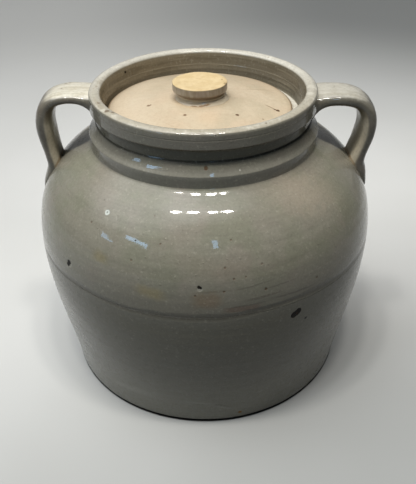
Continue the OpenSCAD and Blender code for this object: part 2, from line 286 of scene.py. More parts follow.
def make_upper_half():
    """Shoulder, collar, groove, rim band and the ledge inside the mouth"""
    outside, dip, dip_out, dip_over = [], 0.65, 15, 9
    for p in upper_curve:
        if p.y > SEAM_Z + 0.6 and p.x > COLLAR_FOOT_R + 6.5:
            t = max(0.0, (COLLAR_FOOT_R + dip_out - p.x) / dip_over)
            outside.append(p - Vector((0, dip * t * t * (3 - 2 * t))))
    inside = [p for p in upper_inside if p.y > SEAM_Z + 1 and p.x > upper_inside[-1].x + 0.01]
    neck = rounded_line([
        (COLLAR_FOOT_R + 5.9, COLLAR_FOOT_Z - 3.75, 0),
        (COLLAR_FOOT_R + 3.9, COLLAR_FOOT_Z - 2.65, 9),
        (COLLAR_FOOT_R + 2.4, COLLAR_FOOT_Z - 1.65, 9),
        (COLLAR_FOOT_R + 1.2, COLLAR_FOOT_Z - 0.7, 3),
        (COLLAR_FOOT_R + 0.4, COLLAR_FOOT_Z + 0.2, 0.5),
        (COLLAR_R, COLLAR_EDGE_Z, 1.2),
        (COLLAR_R - 1.5, COLLAR_EDGE_Z + 1.9, 9),
        (COLLAR_R - 2.8, COLLAR_EDGE_Z + 3.9, 9),
        (COLLAR_R - 4.0, COLLAR_EDGE_Z + 6.0, 9),
        (GROOVE_R - 0.4, GROOVE_Z - 1.5, 0.3),
        (GROOVE_R - 1.0, GROOVE_Z - 0.6, 0.4),
        (GROOVE_R - 0.6, GROOVE_Z + 1.3, 1.0),
        (GROOVE_R - 0.2, BAND_Z - 1.0, 1.2),
        (BAND_R, BAND_Z + 0.7, 0.9),
        (BAND_R - 0.1, 219.2, 0.2),
        (BAND_R - 0.3, 219.6, 0.2),
        (BAND_R - 0.15, 220.0, 0.2),
        (BAND_R - 0.4, LIP_Z - LIP_DROP, 2.4),
        ((BAND_R + MOUTH_R) / 2 + 0.5, LIP_Z, 4),
        (MOUTH_R + 0.6, LIP_Z - 1.0, 2.5),
        (MOUTH_R - 0.5, LIP_Z - 4.6, 3),
        (WELL_R + 1.3, LIP_Z - 10.8, 0.3),
        (WELL_R + 1.0, LIP_Z - 11.4, 0.3),
        (WELL_R, LEDGE_Z, 1.2),
        (WELL_R - LEDGE_W, LEDGE_Z, 1.6),
        (WELL_R - LEDGE_W + 0.4, LEDGE_Z - 4.5, 2),
        (COLLAR_FOOT_R - WALL_T - 1, COLLAR_FOOT_Z - 1.5, 6),
        (upper_inside[-1].x, upper_inside[-1].y, 0)])
    ridged = []
    for p in evenly(neck, 1.2):
        in_the_well = WELL_R - 1 < p.x < MOUTH_R + 1 and LEDGE_Z + 2 < p.y < LIP_Z - 12
        ridged.append(p + Vector((0.16 * math.sin(p.y * 1.9), 0)) if in_the_well else p)
    profile = [Vector((BELLY_R - WALL_T, SEAM_Z)), Vector((BELLY_R - 0.3, SEAM_Z)), Vector((BELLY_R, SEAM_Z + 0.2))]
    profile += thrown(evenly(outside, 1.6), 124, 178, 0.035, 1.9)
    profile += ridged
    profile += evenly(inside[::-1], 3.5)
    profile += [Vector((BELLY_R - WALL_T, SEAM_Z))]
    piece = turned("jar_upper_half", profile, UPPER_STEPS)
    uneven(piece, 60, 0.25)
    smooth(piece)
    return piece


# ---------------------------------------------------------------------------------------------------------
# Strap handles
# ---------------------------------------------------------------------------------------------------------


def strap_section():
    """Outline of the strap across: soft corners, and shallow grooves along its outer face from the pulling"""
    around, softness, groove_points, groove = 40, 0.75, (7, 12), 0.985
    outline = []
    for k in range(around):
        a = 2 * math.pi * k / around
        across = math.copysign(abs(math.cos(a)) ** softness, math.cos(a))
        through = math.copysign(abs(math.sin(a)) ** softness, math.sin(a))
        if k in groove_points:
            through *= groove
        outline.append(Vector((0, across / 2, through / 2)))
    return outline


def make_strap(name, side, crown_z, over_t, bow_in, foot_z, foot_t, tail_t):
    """Strap pulled out of the rim band, bowed outwards and smeared down on the shoulder"""
    bow_x, bow_z = BELLY_R - bow_in, crown_z - BOW_DROP
    root_x, over_x, under_z = BAND_R - 5, BAND_R + 14, crown_z - over_t
    foot_x, tail_z = jar_r(foot_z) + foot_t, foot_z - TAIL_L
    tail_x, end_z = jar_r(tail_z) + tail_t, tail_z - 6
    inner_x, heel_x = bow_x - STRAP_BOW_T, jar_r(foot_z + 4) - 2.5
    steps = (8, 18, 12, 8, 4)
    outer = joined([
        flow((root_x, crown_z - 0.5), (7, 0), (over_x, crown_z), (7, 0), steps[0]),
        flow((over_x, crown_z), (0.6 * (bow_x - over_x), 0), (bow_x, bow_z), (0, -18), steps[1]),
        flow((bow_x, bow_z), (0, -15), (foot_x, foot_z), (1.5, -9), steps[2]),
        flow((foot_x, foot_z), (1.7, -6), (tail_x, tail_z), (1, -8), steps[3]),
        flow((tail_x, tail_z), (0.3, -2), (jar_r(end_z) - 2, end_z), (-0.6, -2), steps[4])])
    inner = joined([
        flow((root_x, under_z - ROOT_DROP), (3.5, 10), (over_x - 1, under_z), (8, 0), steps[0]),
        flow((over_x - 1, under_z), (0.62 * (inner_x - over_x), 0), (inner_x, bow_z), (0, -14), steps[1]),
        flow((inner_x, bow_z), (0.2, -10), (heel_x, foot_z + 1), (-3, -9), steps[2]),
        flow((heel_x, foot_z + 1), (1, -6), (jar_r(tail_z) - 4, tail_z), (1, -6), steps[3]),
        flow((jar_r(tail_z) - 4, tail_z), (0.3, -2), (jar_r(end_z) - 4, end_z), (0.3, -2), steps[4])])
    leg_end, last = sum(steps[:3]), sum(steps)
    stations = []
    for i, (a, b) in enumerate(zip(outer, inner)):
        if i <= steps[0]:
            width = STRAP_W + 5 * (1 - i / steps[0]) ** 2
        elif i <= leg_end:
            width = STRAP_W - 3 * (i - steps[0]) / (leg_end - steps[0])
        else:
            width = (STRAP_W - 3) * math.sqrt(1 - 0.9 * ((i - leg_end) / (last - leg_end)) ** 2)
        shift = TAIL_SHIFT * max(0.0, min(1.0, (i - steps[0] - steps[1]) / steps[2])) + 0.35 * math.sin(i * 0.45)
        centre = Vector((side * (a.x + b.x) / 2, shift, (a.y + b.y) / 2)) * MM
        through = Vector((side * (a.x - b.x), 0, a.y - b.y)) * MM
        stations.append((centre, math.atan2(through.x, through.z), width * MM, through.length))

    outline = strap_section()
    piece = drawn(name, [p / MM for p in outline])
    bpy.ops.mesh.select_all(action="SELECT")
    bpy.ops.mesh.edge_face_add()
    before = (Vector((0, 0, 0)), 0.0, 1.0, 1.0)
    for i, now in enumerate(stations):
        if i:
            bpy.ops.mesh.extrude_region_move()
            turn(-before[1], before[0])
        bpy.ops.transform.resize(value=(1, now[2] / before[2], now[3] / before[3]), center_override=before[0])
        bpy.ops.transform.translate(value=now[0] - before[0])
        turn(now[1], now[0])
        before = now
    bpy.ops.mesh.select_all(action="SELECT")
    bpy.ops.mesh.remove_doubles(threshold=SAME_POINT * MM)
    bpy.ops.mesh.normals_make_consistent(inside=False)
    bpy.ops.object.mode_set(mode="OBJECT")
    finer = piece.modifiers.new("finer", "SUBSURF")
    finer.levels = finer.render_levels = 2
    bpy.ops.object.modifier_apply(modifier=finer.name)
    uneven(piece, 14, 0.3)
    smooth(piece, 60)
    return piece


def turn(angle, centre):
    """Turns the selection about the Y axis through the centre, from +Z towards +X"""
    bpy.ops.transform.rotate(value=-angle, orient_axis="Y", center_override=centre)


# ---------------------------------------------------------------------------------------------------------
# Lid and knob
# ---------------------------------------------------------------------------------------------------------


def make_lid():
    """Domed lid with a dished underside and a flat ring that lies on the ledge"""
    dish_z = LID_EDGE_Z + LID_RISE - LID_T
    dish_r, steps = LID_R - 11.5, 48
    dome = [Vector((r, dome_z(r))) for r in [0.5 + (LID_R - 2.2) * i / steps for i in range(steps + 1)]]
    rim = rounded_line([
        (dome[-1].x, dome[-1].y, 0),
        (LID_R - 0.6, dome_z(LID_R) + 0.1, 1.4),
        (LID_R, LEDGE_Z + 1.4, 0.8),
        (LID_R - 1.6, LEDGE_Z, 1),
        (dish_r, LEDGE_Z, 0.8),
        (dish_r - 8, LEDGE_Z + 0.75 * (dish_z - LEDGE_Z), 8),
        (0, dish_z, 0)])
    profile = [Vector((0, dome_z(0)))] + dome + evenly(rim, 2.0)[1:]
    piece = turned("lid_dome", profile, LID_STEPS, LID_SHIFT)
    uneven(piece, 22, 0.16)
    smooth(piece)
    return piece


def lean(piece, shift, low, high):
    """Pushes what lies below the height high to the right, more and more down to the height low"""
    steps = 6
    for i in range(steps):
        level = (high + (low - high) * i / steps) * MM
        bpy.ops.object.mode_set(mode="EDIT")
        bpy.ops.mesh.select_all(action="DESELECT")
        bpy.ops.object.mode_set(mode="OBJECT")
        for v in piece.data.vertices:
            v.select = v.co.z < level
        bpy.ops.object.mode_set(mode="EDIT")
        bpy.ops.transform.translate(value=(shift / steps * MM, 0, 0))
        bpy.ops.object.mode_set(mode="OBJECT")


def make_knob():
    """Disc knob on a waisted neck, with the ring of slip that lutes it to the lid"""
    disc_z = KNOB_TOP_Z - KNOB_DISC_H
    neck = KNOB_NECK_R + 2.0
    profile = [Vector((0, KNOB_SEAT_Z - 0.6)), Vector((KNOB_FOOT_R - 1, KNOB_SEAT_Z - 0.5))]
    profile += evenly(rounded_line([
        (KNOB_FOOT_R - 1, KNOB_SEAT_Z - 0.5, 0),
        (KNOB_FOOT_R + 0.9, KNOB_SEAT_Z - 0.3, 0.3),
        (KNOB_FOOT_R - 0.2, KNOB_SEAT_Z + 0.9, 0.6),
        (neck + 0.9, KNOB_SEAT_Z + 1.8, 1.0),
        (neck + 0.1, KNOB_SEAT_Z + 3.2, 1.5),
        (neck, disc_z + 0.3, 1.0),
        (KNOB_R - 0.4, disc_z + 0.7, 0.7),
        (KNOB_R, disc_z + 2.0, 1.0),
        (KNOB_R, KNOB_TOP_Z - 0.5, 0.6),
        (KNOB_R - 2.0, KNOB_TOP_Z, 1.2),
        (KNOB_R - 9, KNOB_TOP_Z - 0.35, 6),
        (0, KNOB_TOP_Z - 0.45, 0)]), 1.0)
    piece = turned("lid_knob_disc", profile, KNOB_STEPS, LID_SHIFT)
    bpy.ops.object.mode_set(mode="EDIT")
    bpy.ops.mesh.select_all(action="SELECT")
    bpy.ops.transform.resize(value=KNOB_OVAL, center_override=Vector((*LID_SHIFT, KNOB_SEAT_Z)) * MM)
    lean(piece, KNOB_SHIFT, KNOB_SEAT_Z + 0.5, disc_z)
    uneven(piece, 12, 0.25)
    smooth(piece)
    return piece


lower_half = make_lower_half()
upper_half = make_upper_half()
left_strap = make_strap("left_strap", -1, LIP_Z - 1.2, 8.6, 6.0, SEAM_Z + 47, 5.8, 0.8)
right_strap = make_strap("right_strap", 1, LIP_Z - 3.8, 10.4, 1.4, SEAM_Z + 46, 8.6, 2.0)
lid_dome = make_lid()
knob_disc = make_knob()

for piece, node, body, slot in (
        (lower_half, "lower_body", "pot", "lower_glaze"),
        (upper_half, "upper_body", "pot", "upper_glaze"),
        (left_strap, "left_handle", "pot", "handle_glaze"),
        (right_strap, "right_handle", "pot", "handle_glaze"),
        (lid_dome, "lid_disc", "lid", "lid_glaze"),
        (knob_disc, "lid_knob", "lid", "knob_glaze")):
    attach(piece, body)
    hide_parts(node)

# ---------------------------------------------------------------------------------------------------------
# Shader groups
# ---------------------------------------------------------------------------------------------------------


def tone(red, green, blue):
    """Colour written as it shows on a screen, 0 to 255"""
    return tuple((c / 12.92 if c <= 0.04045 else ((c + 0.055) / 1.055) ** 2.4)
                 for c in (red / 255, green / 255, blue / 255)) + (1.0,)


def put(tree, kind, inputs=None, **settings):
    """Adds a node, sets it, and links or sets its inputs"""
    node = tree.nodes.new("ShaderNode" + kind)
    for key, value in settings.items():
        setattr(node, key, value)
    for key, value in (inputs or {}).items():
        if isinstance(value, bpy.types.NodeSocket):
            tree.links.new(value, node.inputs[key])
        else:
            node.inputs[key].default_value = value
    return node


def maths(tree, how, a, b=0.0, clamp=False):
    """Value of the sum of that kind on a and b"""
    return put(tree, "Math", {0: a, 1: b}, operation=how, use_clamp=clamp).outputs[0]


def times(tree, a, b):
    """a times b"""
    return maths(tree, "MULTIPLY", a, b)


def plus(tree, a, b):
    """a plus b"""
    return maths(tree, "ADD", a, b)


def minus(tree, a, b, clamp=False):
    """a less b"""
    return maths(tree, "SUBTRACT", a, b, clamp)


def larger(tree, a, b):
    """The larger of a and b"""
    return maths(tree, "MAXIMUM", a, b)


def vectors(tree, how, a, b=(0, 0, 0)):
    """Vector from the sum of that kind on the vectors a and b"""
    return put(tree, "VectorMath", {0: a, 1: b}, operation=how).outputs[0]


def dot(tree, a, b):
    """How far the vector a reaches along b"""
    return put(tree, "VectorMath", {0: a, 1: b}, operation="DOT_PRODUCT").outputs["Value"]


def length_of(tree, vector):
    """Length of a vector"""
    return put(tree, "VectorMath", {0: vector}, operation="LENGTH").outputs["Value"]


def level_part(tree, vector):
    """The vector without its height"""
    return vectors(tree, "MULTIPLY", vector, (1, 1, 0))


def parts_of(tree, vector):
    """The x, y and z of a vector"""
    return put(tree, "SeparateXYZ", {0: vector}).outputs


def noise_of(tree, vector, scale, detail, roughness=0.5):
    """Smooth noise from 0 to 1 over the vector"""
    inputs = {"Vector": vector, "Scale": scale, "Detail": detail, "Roughness": roughness}
    return put(tree, "TexNoise", inputs).outputs[0]


def stray(tree, vector, scale, detail, amount):
    """Noise about zero, by which an edge strays"""
    return times(tree, minus(tree, noise_of(tree, vector, scale, detail), 0.5), amount)


def ramp(tree, value, low, high, to_low=0.0, to_high=1.0, ease="SMOOTHSTEP"):
    """The value between low and high, spread smoothly over to_low and to_high"""
    spread = {0: value, 1: low, 2: high, 3: to_low, 4: to_high}
    return put(tree, "MapRange", spread, interpolation_type=ease).outputs[0]


def ramp_mm(tree, value, low, high):
    """0 to 1 between two lengths in mm, of a value in metres"""
    return ramp(tree, value, low * MM, high * MM)


def mix(tree, share, a, b, how="MIX"):
    """Colour a turned into colour b by the share"""
    node = put(tree, "Mix", data_type="RGBA", blend_type=how)
    for socket, value in ((node.inputs[0], share), (node.inputs[6], a), (node.inputs[7], b)):
        if isinstance(value, bpy.types.NodeSocket):
            tree.links.new(value, socket)
        else:
            socket.default_value = value
    return node.outputs[2]


def new_group(name, inputs, outputs):
    """Empty shader group with named sockets, and its two end nodes"""
    tree = bpy.data.node_groups.new(name, "ShaderNodeTree")
    for label, kind, value in inputs:
        socket = tree.interface.new_socket(name=label, in_out="INPUT", socket_type="NodeSocket" + kind)
        if value is not None:
            socket.default_value = value
    for label, kind in outputs:
        tree.interface.new_socket(name=label, in_out="OUTPUT", socket_type="NodeSocket" + kind)
    return tree, tree.nodes.new("NodeGroupInput").outputs, tree.nodes.new("NodeGroupOutput").inputs


def use(tree, group, **inputs):
    """Places a group, with its inputs named by words joined with an underscore, and returns its outputs"""
    node = tree.nodes.new("ShaderNodeGroup")
    node.node_tree = group
    for key, value in inputs.items():
        socket = node.inputs[key.replace("_", " ")]
        if isinstance(value, bpy.types.NodeSocket):
            tree.links.new(value, socket)
        else:
            socket.default_value = value
    return node.outputs


def make_iron_specks():
    """Scattered dots of many sizes, as iron in the clay burns through the glaze"""
    tree, given, out = new_group("iron specks", [
        ("Vector", "Vector", None), ("Spacing", "Float", 0.008), ("Share", "Float", 0.5), ("Size", "Float", 0.0006),
        ("Blur", "Float", 0.4)],
        [("Mask", "Float")])
    scale = maths(tree, "DIVIDE", 1.0, given["Spacing"])
    cells = put(tree, "TexVoronoi", {"Vector": given["Vector"], "Scale": scale}, feature="F1")
    luck = put(tree, "SeparateColor", {0: cells.outputs["Color"]}).outputs
    away = times(tree, cells.outputs["Distance"], given["Spacing"])
    size = times(tree, given["Size"], ramp(tree, luck[1], 0, 1, 0.35, 1.0, "LINEAR"))
    core = times(tree, size, minus(tree, 1.0, given["Blur"]))
    kept = maths(tree, "LESS_THAN", luck[0], given["Share"])
    tree.links.new(times(tree, ramp(tree, away, size, core), kept), out["Mask"])
    return tree


def make_cloudiness():
    """Soft patches where the glaze lies thicker or thinner"""
    tree, given, out = new_group("glaze clouds", [
        ("Vector", "Vector", None), ("Patch", "Float", 0.03), ("Detail", "Float", 3.0), ("Low", "Float", 0.35),
        ("High", "Float", 0.65)],
        [("Mask", "Float")])
    noise = noise_of(tree, given["Vector"], maths(tree, "DIVIDE", 1.0, given["Patch"]), given["Detail"], 0.55)
    tree.links.new(ramp(tree, noise, given["Low"], given["High"]), out["Mask"])
    return tree


def make_spot():
    """One blemish at a place on the pot, with a wavering edge"""
    tree, given, out = new_group("blemish", [
        ("Vector", "Vector", None), ("Place", "Vector", (0, 0, 0)), ("Radius", "Float", 0.002),
        ("Edge", "Float", 0.0008), ("Waver", "Float", 0.001)],
        [("Mask", "Float")])
    noise = put(tree, "TexNoise", {"Vector": given["Vector"], "Scale": 420.0, "Detail": 1.0}).outputs["Color"]
    centred = vectors(tree, "SUBTRACT", noise, (0.5, 0.5, 0.5))
    pushed = put(tree, "VectorMath", {0: centred, "Scale": given["Waver"]}, operation="SCALE").outputs[0]
    away = vectors(tree, "SUBTRACT", vectors(tree, "ADD", given["Vector"], pushed), given["Place"])
    inner = minus(tree, given["Radius"], given["Edge"])
    tree.links.new(ramp(tree, length_of(tree, away), given["Radius"], inner), out["Mask"])
    return tree


def make_band():
    """Soft-edged band between two heights"""
    tree, given, out = new_group("band of height", [
        ("Vector", "Vector", None), ("Low", "Float", 0.1), ("High", "Float", 0.2), ("Blur", "Float", 0.004),
        ("Waver", "Float", 0.0)],
        [("Mask", "Float")])
    off = stray(tree, given["Vector"], 30.0, 2.0, given["Waver"])
    z = plus(tree, parts_of(tree, given["Vector"])[2], off)
    above = ramp(tree, z, minus(tree, given["Low"], given["Blur"]), plus(tree, given["Low"], given["Blur"]))
    below = ramp(tree, z, plus(tree, given["High"], given["Blur"]), minus(tree, given["High"], given["Blur"]))
    tree.links.new(times(tree, above, below), out["Mask"])
    return tree


def make_turning_lines():
    """Fine rings round the axis, from turning on the wheel, on walls and on level faces alike"""
    tree, given, out = new_group("turning lines", [
        ("Vector", "Vector", None), ("Pitch", "Float", 0.003), ("Length", "Float", 0.08), ("Low", "Float", 0.4),
        ("High", "Float", 0.7)],
        [("Mask", "Float"), ("Height", "Float")])
    parts = parts_of(tree, given["Vector"])
    level = level_part(tree, given["Vector"])
    radius = length_of(tree, level)
    along = maths(tree, "DIVIDE", 1.0, given["Length"])
    rise = maths(tree, "DIVIDE", minus(tree, parts[2], radius), given["Pitch"])
    drawn_out = {0: times(tree, parts[0], along), 1: times(tree, parts[1], along), 2: rise}
    drawn_out = put(tree, "CombineXYZ", drawn_out).outputs[0]
    noise = noise_of(tree, drawn_out, 1.0, 3.0, 0.6)
    tree.links.new(ramp(tree, noise, given["Low"], given["High"]), out["Mask"])
    tree.links.new(noise, out["Height"])
    return tree


def make_stroke():
    """Soft streak laid on a wall, reaching Length to each side of Place and rising by Slope on the way"""
    tree, given, out = new_group("stroke", [
        ("Vector", "Vector", None), ("Place", "Vector", (0, -1, 0)), ("Length", "Float", 0.01),
        ("Width", "Float", 0.001), ("Slope", "Float", 0.0), ("Blur", "Float", 0.6), ("Waver", "Float", 0.0008)],
        [("Mask", "Float")])
    level = level_part(tree, given["Place"])
    outward = vectors(tree, "NORMALIZE", level)
    sideways = vectors(tree, "CROSS_PRODUCT", (0, 0, 1), outward)
    away = vectors(tree, "SUBTRACT", given["Vector"], given["Place"])
    along = dot(tree, away, sideways)
    off = stray(tree, given["Vector"], 160.0, 2.0, given["Waver"])
    up = parts_of(tree, away)[2]
    up = plus(tree, minus(tree, up, times(tree, along, given["Slope"])), off)
    kept = minus(tree, 1.0, given["Blur"])
    ends = ramp(tree, maths(tree, "ABSOLUTE", along), given["Length"], times(tree, given["Length"], kept))
    sides = ramp(tree, maths(tree, "ABSOLUTE", up), given["Width"], times(tree, given["Width"], kept))
    near = dot(tree, given["Vector"], outward)
    faced = maths(tree, "GREATER_THAN", near, 0.0)
    tree.links.new(times(tree, times(tree, ends, sides), faced), out["Mask"])
    return tree


def make_seam():
    """The joint of the two halves as it shows through the glaze, a little higher towards both sides"""
    tree, given, out = new_group("seam", [("Vector", "Vector", None)],
                                 [("Above", "Float"), ("Line", "Float"), ("Under", "Float")])
    parts = parts_of(tree, given["Vector"])
    level = level_part(tree, given["Vector"])
    across = parts_of(tree, vectors(tree, "NORMALIZE", level))[0]
    rise = plus(tree, ramp(tree, across, 0.05, 0.45, 0.1173, 0.1212), ramp(tree, across, -0.35, -0.7, 0, 0.0024))
    noise = noise_of(tree, given["Vector"], 30.0, 3.0)
    rise = plus(tree, rise, times(tree, minus(tree, noise, 0.5), 0.002))
    z = minus(tree, parts[2], rise)
    broad = ramp(tree, noise, 0.35, 0.65, 0.0024, 0.0044, "LINEAR")
    under = times(tree, ramp(tree, z, -0.012, -0.005), ramp(tree, z, -0.001, -0.003))
    tree.links.new(ramp(tree, z, -0.0012, 0.0012), out["Above"])
    tree.links.new(ramp(tree, maths(tree, "ABSOLUTE", z), broad, 0.0003), out["Line"])
    tree.links.new(under, out["Under"])
    return tree


def make_worn_and_lit():
    """Faces that look up, where the glaze is thin and rubbed pale, and which are also painted pale as light from
    above
    """
    tree, given, out = new_group("worn glaze", [
        ("Vector", "Vector", None), ("Normal", "Vector", None), ("Low", "Float", 0.7), ("High", "Float", 0.95)],
        [("Mask", "Float")])
    up = plus(tree, parts_of(tree, given["Normal"])[2], stray(tree, given["Vector"], 90.0, 3.0, 0.25))
    tree.links.new(ramp(tree, up, given["Low"], given["High"]), out["Mask"])
    return tree


iron_specks = make_iron_specks()
glaze_clouds = make_cloudiness()


def clouds(tree, place, **values):
    """Mask of soft patches of that size, in metres, and contrast"""
    return use(tree, glaze_clouds, Vector=place, **values)[0]


def specked(tree, place, **values):
    """Mask of scattered dots of that spacing, share and size, in metres"""
    return use(tree, iron_specks, Vector=place, **values)[0]


def moved(tree, place, x, y, z):
    """The coordinates shifted, so that a pattern falls another way"""
    return vectors(tree, "ADD", place, (x, y, z))


def tinted(tree, colour, mask, share, shade):
    """The colour turned into the shade by a share of the mask"""
    return mix(tree, times(tree, mask, share), colour, shade)


def make_fired():
    """Grain, iron specks and pinholes with pale rims over a colour, and the depth of the holes"""
    tree, given, out = new_group("fired grain", [
        ("Vector", "Vector", None), ("Color", "Color", None), ("Deep", "Color", None)],
        [("Color", "Color"), ("Holes", "Float")])
    place, deep = given["Vector"], given["Deep"]
    dark = clouds(tree, place, Patch=0.0016, Detail=3.0, Low=0.42, High=0.72)
    light = clouds(tree, moved(tree, place, 2, 0, 1), Patch=0.002, Detail=2.0, Low=0.55, High=0.8)
    specks = specked(tree, place, Spacing=0.0075, Share=0.3, Size=0.0009, Blur=0.7)
    fine = specked(tree, place, Spacing=0.0024, Share=0.2, Size=0.0004, Blur=0.6)
    rims = specked(tree, place, Spacing=0.019, Share=0.4, Size=0.0017, Blur=0.6)
    holes = specked(tree, place, Spacing=0.019, Share=0.4, Size=0.0008, Blur=0.5)
    colour = tinted(tree, given["Color"], dark, 0.16, deep)
    colour = tinted(tree, colour, light, 0.16, tone(214, 210, 194))
    colour = tinted(tree, colour, specks, 0.45, deep)
    colour = tinted(tree, colour, fine, 0.3, deep)
    colour = tinted(tree, colour, rims, 0.2, tone(205, 202, 188))
    tree.links.new(tinted(tree, colour, holes, 0.7, tone(66, 60, 50)), out["Color"])
    tree.links.new(minus(tree, rims, times(tree, holes, 2)), out["Holes"])
    return tree


def make_relief():
    """Rippled, blistered surface of a fired glaze, with its turning lines, holes and sunken marks"""
    tree, given, out = new_group("glaze relief", [
        ("Vector", "Vector", None), ("Lines", "Float", 0.0), ("Holes", "Float", 0.0), ("Marks", "Float", 0.0)],
        [("Height", "Float")])
    place = given["Vector"]
    blisters = specked(tree, moved(tree, place, 1, 0, 2), Spacing=0.0046, Share=0.4, Size=0.0012, Blur=0.95)
    layers = [(blisters, 1.5), (given["Lines"], 0.12), (given["Holes"], 0.6), (given["Marks"], -1.5)]
    for patch, detail, share in ((0.008, 1.0, 0.35), (0.0013, 2.0, 0.25), (0.0032, 1.0, 0.26)):
        ripple = clouds(tree, place, Patch=patch, Detail=detail, Low=0.2, High=0.8)
        layers.append((ripple, share))
    height = 0.0
    for layer, share in layers:
        height = plus(tree, height, times(tree, layer, share))
    tree.links.new(height, out["Height"])
    return tree


blemish = make_spot()
height_band = make_band()
turning_lines = make_turning_lines()
stroke = make_stroke()
seam = make_seam()
worn_and_lit_glaze = make_worn_and_lit()
fired_grain = make_fired()
glaze_relief = make_relief()

# ---------------------------------------------------------------------------------------------------------
# Materials
# ---------------------------------------------------------------------------------------------------------


def begin_material(name):
    """Material with its Principled shader, the piece's own coordinates and its unbumped normal"""
    material = bpy.data.materials.new(name)
    material.use_nodes = True
    tree = material.node_tree
    tree.nodes.clear()
    shader = put(tree, "BsdfPrincipled")
    end = put(tree, "OutputMaterial")
    tree.links.new(shader.outputs[0], end.inputs[0])
    coordinates = put(tree, "TexCoord").outputs
    return material, tree, shader, coordinates["Object"], coordinates["Normal"]


def finish_material(tree, shader, colour, roughness, height, depth):
    """Links the colour, the roughness and the relief, whose depth is in mm"""
    tree.links.new(colour, shader.inputs["Base Color"])
    tree.links.new(roughness, shader.inputs["Roughness"])
    bump = put(tree, "Bump", {"Strength": 1.0, "Distance": depth * MM, "Height": height})
    tree.links.new(bump.outputs[0], shader.inputs["Normal"])


def glaze_shader(tree, shader, coat, dull, under):
    """Clear coat over a softer layer, missing where the mask says that the glaze is dull"""
    tree.links.new(times(tree, minus(tree, 1.0, dull, True), coat), shader.inputs["Coat Weight"])
    shader.inputs["IOR"].default_value = 1.5
    shader.inputs["Specular IOR Level"].default_value = under
    shader.inputs["Coat Roughness"].default_value = 0.05
    shader.inputs["Coat IOR"].default_value = 1.5


def band_mm(tree, place, low, high, blur, waver):
    """Mask of the band between two heights in mm, with its edges blurred and wavering by so many mm"""
    return use(tree, height_band, Vector=place, Low=low * MM, High=high * MM, Blur=blur * MM, Waver=waver * MM)[0]


def spots(tree, place, colour, listed):
    """Blemishes laid over the colour: (place in mm, radius, edge, share, colour) each"""
    marks = 0.0
    for at, radius, edge, share, shade in listed:
        mask = use(tree, blemish, Vector=place, Place=Vector(at) * MM, Radius=radius * MM, Edge=edge * MM,
                   Waver=min(0.8 * radius, 1.0) * MM)[0]
        colour = tinted(tree, colour, mask, share, shade)
        marks = larger(tree, marks, mask)
    return colour, marks


def strokes(tree, place, colour, listed):
    """Streaks laid over the colour: (place in mm, length, width, slope, blur, share, colour) each"""
    for at, length, width, slope, blur, share, shade in listed:
        mask = use(tree, stroke, Vector=place, Place=Vector(at) * MM, Length=length * MM, Width=width * MM,
                   Slope=slope, Blur=blur, Waver=0.9 * width * MM)[0]
        colour = tinted(tree, colour, mask, share, shade)
    return colour


